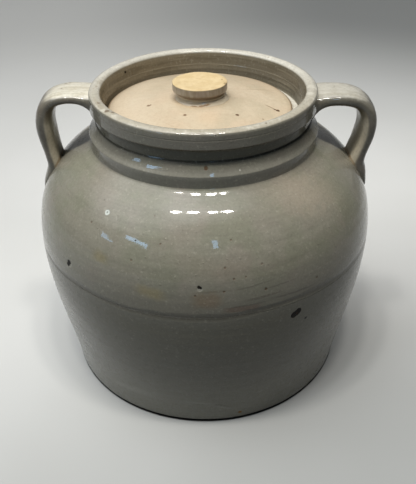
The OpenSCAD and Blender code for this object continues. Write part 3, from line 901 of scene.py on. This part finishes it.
def jar_glaze(name, blemishes, streaks):
    """Glossy glaze, warm grey-beige above the seam and greyer below, rubbed pale on the rim and brown inside, with
    painted light on the lower front, the foot and the rim, and painted shade in the groove
    """
    material, tree, shader, place, normal = begin_material(name)
    joint = use(tree, seam, Vector=place)
    pink = clouds(tree, place, Patch=0.026, Detail=4.0, Low=0.47, High=0.64)
    green = clouds(tree, moved(tree, place, 3, 1, 2), Patch=0.034, Detail=4.0, Low=0.46, High=0.62)
    fine = clouds(tree, place, Patch=0.005, Detail=4.0, Low=0.3, High=0.75)
    lines = use(tree, turning_lines, Vector=place, Pitch=0.004, Length=0.12)
    x, y, z = parts_of(tree, place)
    radius = length_of(tree, level_part(tree, place))

    # Above the seam: pink and green clouds, darker towards the seam and on the neck, paler on the collar's edge
    upper = tinted(tree, tone(144, 141, 127), pink, 0.45, tone(146, 138, 126))
    upper = tinted(tree, upper, green, 0.7, tone(134, 135, 117))
    upper = tinted(tree, upper, ramp_mm(tree, z, SEAM_Z + 34, SEAM_Z + 4), 0.65, tone(109, 106, 93))
    upper = tinted(tree, upper, ramp_mm(tree, z, COLLAR_FOOT_Z - 1.7, COLLAR_FOOT_Z + 1.3), 0.6, tone(112, 110, 101))
    edge = band_mm(tree, place, COLLAR_EDGE_Z - 2.1, COLLAR_EDGE_Z + 3.4, 1.6, 1.2)
    upper = tinted(tree, upper, edge, 0.6, tone(150, 148, 136))
    # Below it: greyer, and paler at the front and towards the foot as painted light, the foot's pale standing for
    # light thrown up by the table
    lower = tinted(tree, tone(101, 100, 88), pink, 0.6, tone(97, 94, 83))
    lower = tinted(tree, lower, ramp_mm(tree, y, -70, -125), 0.6, tone(120, 118, 104))
    lower = tinted(tree, lower, ramp_mm(tree, z, 70, 5), 0.8, tone(158, 155, 139))
    colour = mix(tree, joint["Above"], lower, upper)
    colour = tinted(tree, colour, fine, 0.18, tone(101, 98, 86))
    colour = tinted(tree, colour, lines["Mask"], 0.14, tone(93, 91, 83))
    colour = tinted(tree, colour, joint["Under"], 0.35, tone(120, 119, 110))
    colour = strokes(tree, place, colour, streaks)
    colour = tinted(tree, colour, joint["Line"], 0.6, tone(74, 71, 62))

    # The groove under the rim band, where the glaze has pooled dull: its wall and its crease are darkened with
    # painted shade from the band above, and a brown line of glaze runs along the foot of the band
    outer = maths(tree, "GREATER_THAN", radius, (MOUTH_R + 3.6) * MM)
    dull = times(tree, ramp_mm(tree, z, GROOVE_Z - 2.7, GROOVE_Z - 1.7), outer)
    dull = times(tree, dull, ramp_mm(tree, z, BAND_Z + 0.6, BAND_Z - 0.4))
    for low, high, blur, share, shade in ((GROOVE_Z - 1.0, BAND_Z + 0.2, 0.8, 0.55, tone(108, 107, 94)),
                                          (GROOVE_Z - 1.8, GROOVE_Z - 0.6, 0.5, 0.65, tone(44, 42, 35)),
                                          (BAND_Z + 0.1, BAND_Z + 1.1, 0.5, 0.6, tone(92, 72, 44))):
        ring = band_mm(tree, place, low, high, blur, 0.8)
        colour = tinted(tree, colour, times(tree, ring, outer), share, shade)

    # Thin brown glaze inside the neck, streaked by turning
    inside = ramp_mm(tree, radius, MOUTH_R + 3.1, MOUTH_R + 1.1)
    inside = times(tree, inside, ramp_mm(tree, z, LIP_Z - 1.7, LIP_Z - 3.1))
    wall = mix(tree, ramp_mm(tree, x, -60, 60), tone(137, 125, 102), tone(113, 106, 90))
    colour = mix(tree, times(tree, inside, 0.85), colour, wall)
    rings = use(tree, turning_lines, Vector=place, Pitch=0.0022, Length=0.05, Low=0.5, High=0.66)
    colour = tinted(tree, colour, times(tree, inside, rings["Mask"]), 0.4, tone(150, 142, 122))
    slow = use(tree, turning_lines, Vector=moved(tree, place, 0, 0, 1), Pitch=0.005, Length=0.04, Low=0.5, High=0.62)
    colour = tinted(tree, colour, times(tree, inside, slow["Mask"]), 0.35, tone(84, 76, 60))

    # The rim, rubbed pale on what looks up, but not on the small step of the well; the pale is partly real rubbing
    # and partly painted light, painted paler towards the back, and its pale streaks are painted highlights
    rubbed_and_lit = use(tree, worn_and_lit_glaze, Vector=place, Normal=normal, Low=0.62, High=0.9)[0]
    lip = times(tree, ramp_mm(tree, z, LIP_Z - 2.9, LIP_Z - 1.5), ramp_mm(tree, radius, BAND_R - 2.5, BAND_R - 4.0))
    well = band_mm(tree, place, LEDGE_Z + 3.0, LIP_Z - 6.8, 0.5, 0.0)
    rubbed_and_lit = times(tree, rubbed_and_lit, minus(tree, ramp_mm(tree, z, GROOVE_Z - 5.2, GROOVE_Z - 2.2), well, True))
    high = larger(tree, rubbed_and_lit, lip)
    rim_tone_lit_at_back = mix(tree, ramp_mm(tree, y, -50, 40), tone(190, 184, 167), tone(214, 211, 199))
    colour = mix(tree, times(tree, high, 0.9), colour, rim_tone_lit_at_back)
    colour = tinted(tree, colour, times(tree, high, rings["Mask"]), 0.45, tone(158, 148, 126))
    pale = clouds(tree, moved(tree, place, 4, 4, 0), Patch=0.009, Detail=4.0, Low=0.5, High=0.68)
    colour = tinted(tree, colour, times(tree, high, pale), 0.45, tone(232, 229, 216))
    bare = specked(tree, place, Spacing=0.0055, Share=0.45, Size=0.0014, Blur=0.8)
    colour = tinted(tree, colour, times(tree, high, bare), 0.6, tone(136, 112, 82))

    colour, holes = use(tree, fired_grain, Vector=place, Color=colour, Deep=tone(84, 78, 66))
    colour, marks = spots(tree, place, colour, blemishes)
    dull = larger(tree, times(tree, dull, 0.7), times(tree, inside, 0.7))
    dull = larger(tree, dull, marks)
    marks = plus(tree, marks, times(tree, joint["Line"], 1.6))
    roughness = ramp(tree, fine, 0, 1, 0.25, 0.36, "LINEAR")
    relief = use(tree, glaze_relief, Vector=place, Lines=lines["Height"], Holes=holes, Marks=marks)[0]
    finish_material(tree, shader, colour, roughness, relief, 0.12)
    glaze_shader(tree, shader, ramp(tree, joint["Above"], 0, 1, 0.5, 0.75), dull, 0.08)
    return material


DARK, BROWN, RUST, PALE = tone(18, 13, 8), tone(92, 72, 54), tone(107, 76, 48), tone(212, 210, 198)
lower_glaze = jar_glaze("lower_glaze", [
    ((58.6, -112.7, 106.9), 2.9, 0.6, 1.0, DARK), ((60.0, -112.0, 108.0), 3.0, 0.6, 1.0, DARK),
    ((61.6, -111.1, 109.3), 2.7, 0.6, 1.0, DARK), ((60.6, -111.6, 107.6), 1.0, 0.6, 0.5, tone(80, 50, 26)),
    ((67.6, -106.9, 99.4), 1.6, 0.8, 1.0, DARK),
    ((24.5, -109.8, 8.2), 1.9, 1.0, 0.9, tone(150, 104, 44)),
    ((-38, -104.0, 60.0), 0.9, 0.6, 0.6, BROWN),
    ((84, -84.0, 52.0), 0.8, 0.5, 0.6, BROWN)], [
    ((-6, -114.5, 24.0), 18, 1.6, -0.12, 0.95, 0.22, PALE),
    ((12, -114.2, 17.0), 10, 1.3, -0.4, 0.95, 0.28, PALE),
    ((10, -114.2, 20.5), 10, 1.2, -0.4, 0.95, 0.35, tone(60, 57, 50)),
    ((-60, -96.0, 24.0), 34, 5.0, 0.1, 0.95, 0.2, PALE)])
upper_glaze = jar_glaze("upper_glaze", [
    ((-92.8, -85.1, 132.0), 3.2, 1.2, 0.35, PALE),
    ((-92.8, -85.1, 132.9), 2.2, 0.6, 1.0, DARK), ((-93.4, -84.6, 131.2), 1.9, 0.6, 1.0, DARK),
    ((-3.9, -124.0, 139.6), 2.4, 1.3, 0.25, PALE),
    ((-4.4, -124.0, 140.9), 1.5, 0.6, 0.95, DARK), ((-3.3, -124.0, 140.4), 1.2, 0.6, 0.95, DARK),
    ((-63.1, -84.7, 172.5), 2.4, 0.9, 0.75, tone(222, 230, 224)),
    ((-63.1, -84.7, 172.5), 1.2, 0.8, 0.95, tone(92, 90, 80)),
    ((1.1, -80.2, 201.1), 2.0, 0.8, 0.9, BROWN),
    ((1.1, -80.6, 203.6), 1.0, 0.6, 0.9, PALE),
    ((22.6, -78.2, 198.3), 1.0, 0.6, 0.9, PALE),
    ((11.3, -124.4, 137.2), 1.0, 0.6, 0.7, BROWN), ((38.1, -119.5, 135.1), 1.3, 0.7, 0.7, BROWN),
    ((73.3, -102.6, 130.9), 1.2, 0.8, 0.6, BROWN), ((-6.9, -125.2, 134.9), 1.0, 0.6, 0.6, BROWN),
    ((12.0, -119.6, 152.3), 1.1, 0.7, 0.6, BROWN), ((17.6, -121.6, 145.1), 1.1, 0.7, 0.6, BROWN),
    ((25.1, -120.2, 145.5), 1.0, 0.7, 0.5, BROWN), ((35.3, -115.1, 151.7), 1.1, 0.7, 0.5, BROWN),
    ((-31.9, -95.7, 176.7), 1.2, 0.7, 0.7, BROWN), ((-14.3, -105.5, 171.7), 1.0, 0.6, 0.6, BROWN),
    ((13.7, -102.2, 174.9), 1.2, 0.8, 0.6, BROWN), ((15.9, -109.9, 166.6), 1.1, 0.7, 0.6, BROWN),
    ((-28.1, -109.7, 164.2), 1.1, 0.7, 0.6, BROWN), ((-46.9, -110.5, 152.8), 1.3, 0.9, 0.5, BROWN),
    ((-74.2, -84.7, 165.0), 1.3, 0.8, 0.6, BROWN), ((-44.1, -104.7, 163.7), 0.9, 0.5, 0.9, DARK),
    ((-69.4, -32.0, 225.0), 1.6, 0.8, 0.6, BROWN), ((-62.5, -45.3, 225.0), 2.2, 1.0, 0.7, BROWN),
    ((-58.4, -47.0, 224.5), 1.6, 0.8, 0.7, BROWN), ((38.8, -67.1, 225.0), 1.0, 0.6, 0.6, BROWN),
    ((-17.5, -74.0, 225.0), 0.9, 0.5, 0.7, BROWN), ((-59.3, 40.8, 219.4), 1.4, 0.6, 1.0, DARK)], [
    ((0.6, -125.8, 131.5), 13, 7.5, 0.0, 0.7, 0.6, tone(126, 108, 84)),
    ((23.5, -124.7, 123.4), 15, 2.6, 0.0, 0.5, 0.65, tone(104, 84, 70)),
    ((-35.5, -120.4, 134.2), 14, 5.5, -0.1, 0.8, 0.5, tone(148, 136, 96)),
    ((-68.1, -100.9, 148.5), 9, 5, 0.0, 0.9, 0.45, tone(146, 134, 94)),
    ((4.0, -124.5, 137.6), 14, 1.2, 0.05, 0.95, 0.45, tone(96, 88, 72)),
    # Painted light: a broad pale stroke that brightens the right of the shoulder
    ((66, -72, 177), 42, 16, -0.15, 0.95, 0.5, tone(172, 160, 142)),
    ((30.0, -121.5, 139.0), 18, 0.9, 0.12, 0.9, 0.45, tone(88, 84, 74)),
    ((48.0, -116.0, 136.0), 16, 0.8, 0.05, 0.9, 0.45, tone(84, 80, 70)),
    ((37.6, -120.5, 130.1), 17, 1.1, 0.06, 0.6, 0.6, tone(88, 83, 72)),
    ((26.0, -124.0, 125.5), 17, 0.8, 0.03, 0.6, 0.6, tone(84, 78, 68)),
    ((58.0, -112.5, 126.6), 22, 1.0, -0.02, 0.7, 0.6, tone(84, 80, 70)),
    ((6.0, -119.0, 152.0), 40, 9, -0.15, 0.9, 0.12, tone(142, 126, 104))])


def strap_glaze():
    """The same glaze on the pulled straps: grooved lengthwise, rubbed pale on top with painted light that is lighter
    on the left strap, and on the inner face painted light low down and painted shade in the crook
    """
    material, tree, shader, place, normal = begin_material("handle_glaze")
    pink = clouds(tree, place, Patch=0.02, Detail=4.0, Low=0.45, High=0.64)
    fine = clouds(tree, place, Patch=0.005, Detail=4.0, Low=0.3, High=0.75)
    parts = parts_of(tree, place)
    pulled = vectors(tree, "MULTIPLY", place, (18.0, 420.0, 18.0))
    groove = noise_of(tree, pulled, 1.0, 3.0, 0.6)
    grooves = ramp(tree, groove, 0.45, 0.62)
    colour = tinted(tree, tone(124, 121, 110), pink, 0.7, tone(127, 118, 106))
    colour = tinted(tree, colour, fine, 0.2, tone(97, 94, 82))
    colour = tinted(tree, colour, grooves, 0.35, tone(87, 84, 74))
    level = level_part(tree, place)
    outward = vectors(tree, "NORMALIZE", level)
    facing = dot(tree, normal, outward)
    # Inner and under faces: painted light low down, where light falls through the loop, and painted shade in the
    # crook under the bow
    under = larger(tree, ramp(tree, facing, 0.1, -0.3),
                  ramp(tree, parts_of(tree, normal)[2], -0.1, -0.6))
    inner_face_light_and_shade = mix(tree, ramp_mm(tree, parts[2], 196, 212), tone(222, 212, 188), tone(122, 110, 90))
    colour = mix(tree, times(tree, under, 0.85), colour, inner_face_light_and_shade)
    rubbed_and_lit = use(tree, worn_and_lit_glaze, Vector=place, Normal=normal, Low=0.68, High=0.95)[0]
    # The tops are partly rubbed pale and partly painted light, lighter on the left strap than on the right as if lit
    # from the left
    right = ramp_mm(tree, parts[0], -10, 10)
    patchy = clouds(tree, place, Patch=0.007, Detail=4.0, Low=0.42, High=0.66)
    worn_and_lit = mix(tree, right, tone(232, 228, 212), tone(202, 199, 187))
    worn_and_lit = mix(tree, times(tree, grooves, 0.6), worn_and_lit, mix(tree, right, tone(196, 188, 168), tone(178, 173, 158)))
    worn_and_lit = tinted(tree, worn_and_lit, patchy, 0.45, mix(tree, right, tone(204, 196, 172), tone(176, 171, 156)))
    colour = mix(tree, times(tree, rubbed_and_lit, 0.9), colour, worn_and_lit)
    low, middle, high = 155, 165, 175
    fall = (jar_r(low) - jar_r(high)) / (high - low)
    clear = plus(tree, times(tree, parts[2], fall), length_of(tree, level))
    clear = minus(tree, clear, (jar_r(middle) + middle * fall) * MM)
    root = times(tree, ramp_mm(tree, clear, 2.6, 1.2), ramp_mm(tree, parts[2], 182, 176))
    colour = tinted(tree, colour, times(tree, root, under), 0.6, tone(150, 122, 84))
    colour, holes = use(tree, fired_grain, Vector=place, Color=colour, Deep=tone(84, 76, 62))
    colour, marks = spots(tree, place, colour, [
        ((-98.2, 7.0, 223.5), 1.8, 0.9, 0.7, BROWN), ((-95.6, 8.8, 223.5), 1.3, 0.7, 0.7, BROWN),
        ((-99.5, -2.4, 223.5), 1.3, 0.7, 0.6, BROWN), ((104.0, 6.0, 219.0), 1.0, 0.6, 0.5, BROWN)])
    roughness = ramp(tree, fine, 0, 1, 0.26, 0.38, "LINEAR")
    relief = use(tree, glaze_relief, Vector=place, Lines=groove, Holes=holes, Marks=marks)[0]
    finish_material(tree, shader, colour, roughness, relief, 0.14)
    glaze_shader(tree, shader, 0.75, larger(tree, times(tree, under, 0.6), marks), 0.08)
    return material


def lid_material():
    """Satin cream slip, thin and warm, with specks, faint rings and a few scratches, painted shade at the back and
    round the edge, and painted light on the left
    """
    material, tree, shader, place, _ = begin_material("lid_glaze")
    centred = moved(tree, place, -LID_SHIFT[0] * MM, -LID_SHIFT[1] * MM, 0)
    rose = clouds(tree, place, Patch=0.03, Detail=4.0, Low=0.4, High=0.64)
    grey = clouds(tree, moved(tree, place, 5, 2, 0), Patch=0.022, Detail=4.0, Low=0.46, High=0.66)
    fine = clouds(tree, place, Patch=0.004, Detail=4.0, Low=0.3, High=0.75)
    rings = use(tree, turning_lines, Vector=centred, Pitch=0.004, Length=0.1, Low=0.45, High=0.7)
    colour = tinted(tree, tone(211, 196, 170), rose, 0.7, tone(209, 189, 162))
    colour = tinted(tree, colour, grey, 0.6, tone(194, 182, 156))
    colour = tinted(tree, colour, fine, 0.2, tone(185, 165, 136))
    colour = tinted(tree, colour, rings["Mask"], 0.15, tone(187, 169, 142))
    parts = parts_of(tree, centred)
    radius = length_of(tree, level_part(tree, centred))
    # Painted shade at the back of the lid and painted light on its left
    colour = tinted(tree, colour, ramp_mm(tree, parts[1], 15, 60), 0.45, tone(186, 172, 148))
    colour = tinted(tree, colour, ramp_mm(tree, parts[0], -20, -50), 0.5, tone(222, 208, 184))
    # Painted shade round the edge of the lid, darkest in the gap at the rim
    colour = tinted(tree, colour, ramp_mm(tree, radius, LID_R - 5.9, LID_R - 1.4), 0.35, tone(163, 144, 119))
    colour = tinted(tree, colour, ramp_mm(tree, radius, LID_R - 2.3, LID_R - 1.1), 0.85, tone(118, 98, 72))
    grain = clouds(tree, place, Patch=0.0016, Detail=3.0, Low=0.45, High=0.7)
    colour = tinted(tree, colour, grain, 0.22, tone(178, 156, 124))
    # A darker, warmer patch on the lid in front of the knob
    patch_before_knob = times(tree, ramp_mm(tree, radius, KNOB_FOOT_R + 6, KNOB_FOOT_R - 1.5), ramp_mm(tree, parts[1], 12, -8))
    colour = tinted(tree, colour, patch_before_knob, 0.5, tone(181, 154, 117))
    specks = specked(tree, place, Spacing=0.008, Share=0.3, Size=0.0008, Blur=0.7)
    colour = tinted(tree, colour, specks, 0.5, tone(136, 105, 74))
    flat = parts_of(tree, place)
    laid = put(tree, "CombineXYZ", {0: flat[0], 1: -1.0, 2: flat[1]}).outputs[0]
    colour = strokes(tree, laid, colour, [
        ((41.0, -1000, 21.7), 15, 1.1, 0.22, 0.8, 0.45, tone(150, 128, 96)),
        ((47.6, -1000, -10.5), 4.5, 0.8, -0.8, 0.6, 0.8, tone(116, 88, 58)),
        ((12.0, -1000, -48.0), 9, 0.4, 0.6, 0.6, 0.4, tone(163, 138, 105)),
        ((-22.0, -1000, -40.0), 7, 0.4, -0.9, 0.6, 0.35, tone(163, 138, 105))])
    colour, marks = spots(tree, place, colour, [
        ((3, -33, 212.9), 13, 12, 0.25, tone(208, 178, 142)),
        ((-38.8, -8.8, 212.8), 1.7, 0.8, 0.8, RUST), ((-37.2, -8.0, 212.8), 1.3, 0.8, 0.8, RUST),
        ((-12.6, -27.4, 213.6), 1.4, 0.6, 0.9, RUST),
        ((23.1, -26.8, 212.8), 1.5, 0.6, 1.0, tone(96, 66, 42)),
        ((52.2, -14.2, 210.3), 1.8, 0.7, 0.95, tone(90, 66, 44)),
        ((50.2, -13.2, 210.3), 1.3, 0.7, 0.9, tone(90, 66, 44)),
        ((40.5, -29.6, 210.7), 1.0, 0.6, 0.7, RUST), ((-18, 42, 212.0), 1.0, 0.6, 0.6, tone(117, 85, 58))])
    roughness = ramp(tree, fine, 0, 1, 0.32, 0.48, "LINEAR")
    height = plus(tree, fine, rings["Height"])
    finish_material(tree, shader, colour, roughness, minus(tree, height, marks), 0.09)
    glaze_shader(tree, shader, 0.35, marks, 0.4)
    return material


def knob_material():
    """Grey-beige glaze brushed down the side, bare warm clay on the top where the glaze was wiped off, and painted
    shade under the disc
    """
    material, tree, shader, place, _ = begin_material("knob_glaze")
    fine = clouds(tree, place, Patch=0.004, Detail=4.0, Low=0.3, High=0.75)
    broad = clouds(tree, place, Patch=0.012, Detail=3.0, Low=0.4, High=0.65)
    parts = parts_of(tree, place)
    brushed = vectors(tree, "MULTIPLY", place, (500.0, 500.0, 160.0))
    brush = noise_of(tree, brushed, 1.0, 2.0)
    top = band_mm(tree, place, KNOB_TOP_Z - 0.9, KNOB_TOP_Z + 50, 0.4, 1.2)
    foot = ramp_mm(tree, parts[2], KNOB_SEAT_Z + 4.6, KNOB_SEAT_Z + 3.2)
    side = mix(tree, ramp(tree, brush, 0.3, 0.75), tone(178, 168, 152), tone(154, 141, 120))
    side = tinted(tree, side, broad, 0.5, tone(140, 124, 112))
    # Painted shade, brown, under the disc where it overhangs the neck
    under = ramp_mm(tree, parts[2], KNOB_TOP_Z - KNOB_DISC_H + 1.9, KNOB_TOP_Z - KNOB_DISC_H + 0.9)
    side = tinted(tree, side, under, 0.75, tone(118, 98, 70))
    side = tinted(tree, side, foot, 0.9, tone(218, 206, 182))
    centred = moved(tree, place, -LID_SHIFT[0] * MM, -LID_SHIFT[1] * MM, 0)
    flat = vectors(tree, "MULTIPLY", centred, (1 / KNOB_OVAL[0], 1 / KNOB_OVAL[1], 0))
    radius = length_of(tree, flat)
    crack = maths(tree, "ABSOLUTE", minus(tree, radius, ramp(tree, fine, 0, 1, 0.0179, 0.0186, "LINEAR")))
    crack = times(tree, ramp_mm(tree, crack, 0.5, 0.2), ramp_mm(tree, parts[0], 6, 3))
    side = tinted(tree, side, times(tree, crack, foot), 0.8, tone(140, 104, 64))
    bare = tinted(tree, tone(224, 203, 159), broad, 0.6, tone(208, 183, 135))
    bare = tinted(tree, bare, fine, 0.55, tone(200, 174, 128))
    colour = mix(tree, top, side, bare)
    specks = specked(tree, place, Spacing=0.004, Share=0.3, Size=0.0006, Blur=0.6)
    colour = tinted(tree, colour, specks, 0.45, tone(140, 108, 70))
    colour, marks = spots(tree, place, colour, [
        ((15.6, -4.3, 226.5), 1.7, 0.8, 0.8, tone(150, 130, 96)),
        ((13.5, 2.5, 227.0), 1.2, 0.6, 0.7, tone(150, 124, 88)),
        ((-13.5, -13.9, 215.2), 1.0, 0.6, 0.8, BROWN), ((-7.2, -16.4, 215.2), 1.0, 0.6, 0.7, BROWN)])
    roughness = ramp(tree, top, 0, 1, 0.3, 0.6, "LINEAR")
    height = minus(tree, plus(tree, fine, times(tree, brush, 0.6)), marks)
    finish_material(tree, shader, colour, roughness, height, 0.12)
    glaze_shader(tree, shader, ramp(tree, foot, 0, 1, 0.2, 0.5), marks, 0.4)
    return material


handle_glaze = strap_glaze()
for piece, material in ((lower_half, lower_glaze), (upper_half, upper_glaze), (left_strap, handle_glaze),
                        (right_strap, handle_glaze), (lid_dome, lid_material()), (knob_disc, knob_material())):
    piece.data.materials.clear()
    piece.data.materials.append(material)

# ---------------------------------------------------------------------------------------------------------
# Floor, light and camera
# ---------------------------------------------------------------------------------------------------------


POT_MIDDLE = Vector((0, 0, 0.15))


def make_floor():
    """Pale table top, wide enough for every view, that throws little light back up at the pot, with painted shade
    towards the right and front and a painted contact shadow round the foot
    """
    start_afresh()
    bpy.ops.mesh.primitive_plane_add(size=8, location=(0, 0, 0))
    floor = bpy.context.object
    floor.name = "table_top"
    material, tree, shader, place, _ = begin_material("table_white")
    haze = clouds(tree, place, Patch=0.4, Detail=3.0, Low=0.3, High=0.7)
    parts = parts_of(tree, place)
    # Painted shade: the table darker towards the right and front
    shade_to_right_front = ramp(tree, minus(tree, times(tree, parts[0], 0.5), parts[1]), -0.2, 0.3)
    pale = mix(tree, haze, mix(tree, shade_to_right_front, tone(222, 223, 221), tone(170, 172, 171)),
               mix(tree, shade_to_right_front, tone(213, 214, 211), tone(158, 160, 158)))
    away = length_of(tree, place)
    # Painted shade: far off, the table darker towards the right
    far = mix(tree, ramp(tree, parts[0], -0.35, 0.3), tone(180, 181, 179), tone(128, 130, 129))
    pale = mix(tree, ramp(tree, away, 0.3, 1.0), pale, far)
    # The far table is dark to the glaze and pale to the camera, and the table throws little light back
    ray = put(tree, "LightPath").outputs
    horizon = mix(tree, ray["Is Camera Ray"], tone(110, 110, 110), tone(186, 187, 186))
    pale = mix(tree, ramp(tree, away, 1.2, 2.4), pale, horizon)
    # Painted contact shadow: a dark ring on the table just under the edge of the foot
    pale = mix(tree, ramp_mm(tree, away, FOOT_R + 0.6, FOOT_R - 0.4), pale, tone(30, 29, 28))
    shown = larger(tree, ray["Is Glossy Ray"], ray["Is Transmission Ray"])
    shown = larger(tree, ray["Is Camera Ray"], shown)
    tree.links.new(mix(tree, shown, tone(104, 104, 102), pale), shader.inputs["Base Color"])
    shader.inputs["Roughness"].default_value = 0.5
    floor.data.materials.append(material)


def soft_lamp(name, at, size, power, colour, roll=0.0):
    """Flat rectangular lamp of the given width and height that faces the pot, rolled by degrees"""
    lamp = bpy.data.lights.new(name, "AREA")
    lamp.shape = "RECTANGLE"
    lamp.size, lamp.size_y = size
    lamp.energy = power
    lamp.color = colour
    holder = bpy.data.objects.new(name, lamp)
    bpy.context.collection.objects.link(holder)
    facing = (POT_MIDDLE - Vector(at)).to_track_quat("-Z", "Y").to_matrix()
    holder.matrix_world = Matrix.Translation(at) @ (facing @ Matrix.Rotation(math.radians(roll), 3, "Z")).to_4x4()


def sky(azimuth, elevation, distance):
    """Place seen from the pot at an azimuth from +Y towards +X and an elevation, in degrees"""
    a, e = math.radians(azimuth), math.radians(elevation)
    return Vector((math.sin(a) * math.cos(e), math.cos(a) * math.cos(e), math.sin(e))) * distance + POT_MIDDLE


def make_light():
    """Row of ceiling lamps, tall cool windows far off, a ceiling brightest to the left, and a dim back wall"""
    warm, cool = (1.0, 0.96, 0.9), (0.28, 0.5, 0.77)
    for number, x in enumerate((-0.40, -0.147, 0.118, 0.32)):
        soft_lamp(f"ceiling_lamp_{number}", (x, -0.37, 1.85), (0.13, 0.17), 5.5, warm)
    far_off = 2.2
    soft_lamp("window_left", sky(-130, 31, far_off), (0.56, 0.09), 2.0, cool, 5)
    soft_lamp("window_far_left", sky(-110.5, 22, far_off), (0.34, 0.08), 0.7, cool, 2)
    soft_lamp("window_front", sky(172, 43, far_off), (0.12, 0.42), 1.6, cool)
    world = bpy.data.worlds.new("room")
    bpy.context.scene.world = world
    world.use_nodes = True
    tree = world.node_tree
    way = put(tree, "TexCoord").outputs["Generated"]
    above = dot(tree, way, (-0.5, 0.0, 0.866))
    _, behind, up = parts_of(tree, way)
    ceiling = plus(tree, ramp(tree, above, 0.8, 1.0, 0.0, 2.6), ramp(tree, up, 0.9, 1.0, 0.0, 1.8))
    wall = times(tree, ramp(tree, behind, 0.3, 0.7, 0.0, 0.22), ramp(tree, up, 0.5, 0.3))
    backdrop = times(tree, put(tree, "LightPath").outputs["Is Camera Ray"], 0.34)
    strength = plus(tree, plus(tree, ceiling, wall), backdrop)
    back = tree.nodes["Background"]
    back.inputs[0].default_value = (0.98, 0.99, 1.0, 1)
    tree.links.new(strength, back.inputs[1])


def make_camera():
    """Camera at the place and with the lens that were fitted to the photo"""
    yaw, pitch, roll = 0.005113, 0.607873, -0.011356
    eye, focal_px, photo_height = (0, -0.44046, 0.39534), 650, 484
    ahead = Vector((math.sin(yaw) * math.cos(pitch), math.cos(yaw) * math.cos(pitch), -math.sin(pitch)))
    level = Vector((math.cos(yaw), -math.sin(yaw), 0))
    up = level.cross(ahead)
    right_hand = math.cos(roll) * level + math.sin(roll) * up
    upwards = -math.sin(roll) * level + math.cos(roll) * up
    lens = bpy.data.cameras.new("camera")
    lens.sensor_width = 36
    lens.lens = focal_px * lens.sensor_width / photo_height
    lens.clip_start, lens.clip_end = 0.01, 50
    camera = bpy.data.objects.new("camera", lens)
    bpy.context.collection.objects.link(camera)
    turned_to = Matrix((right_hand, upwards, -ahead)).transposed().to_4x4()
    camera.matrix_world = Matrix.Translation(eye) @ turned_to
    bpy.context.scene.camera = camera


make_floor()
make_light()
make_camera()
bpy.context.scene.view_settings.view_transform = "Standard"
